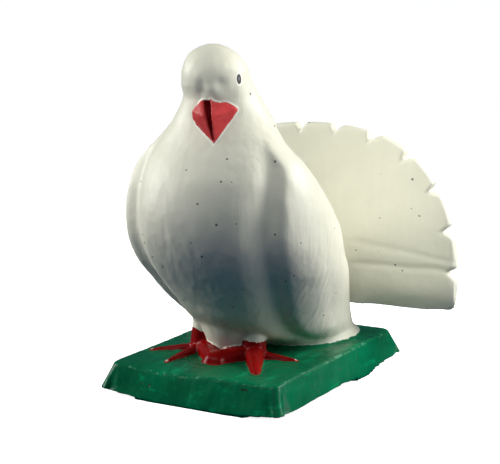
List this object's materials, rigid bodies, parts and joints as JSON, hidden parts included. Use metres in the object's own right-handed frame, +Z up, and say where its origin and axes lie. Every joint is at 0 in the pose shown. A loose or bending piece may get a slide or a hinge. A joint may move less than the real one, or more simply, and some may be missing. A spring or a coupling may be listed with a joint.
{
  "type": "pigeon figurine",
  "caption": "Painted ceramic fantail pigeon with a raised, scalloped tail fan, cast in one with a flat sloping-sided slab it stands on.",
  "frame": {"origin": "centre of the slab's flat underside", "axes": "+Z up, -Y the way the bird looks, +X the bird's left"},
  "size_m": [0.1953, 0.1743, 0.2035],
  "materials": {
    "painted_ceramic": "hand-painted cast ceramic: satin off-white bird, glossy red beak and feet, glossy green slab"
  },
  "bodies": {
    "root": {"pigeon_figurine": "painted_ceramic"}
  },
  "joints": []
}
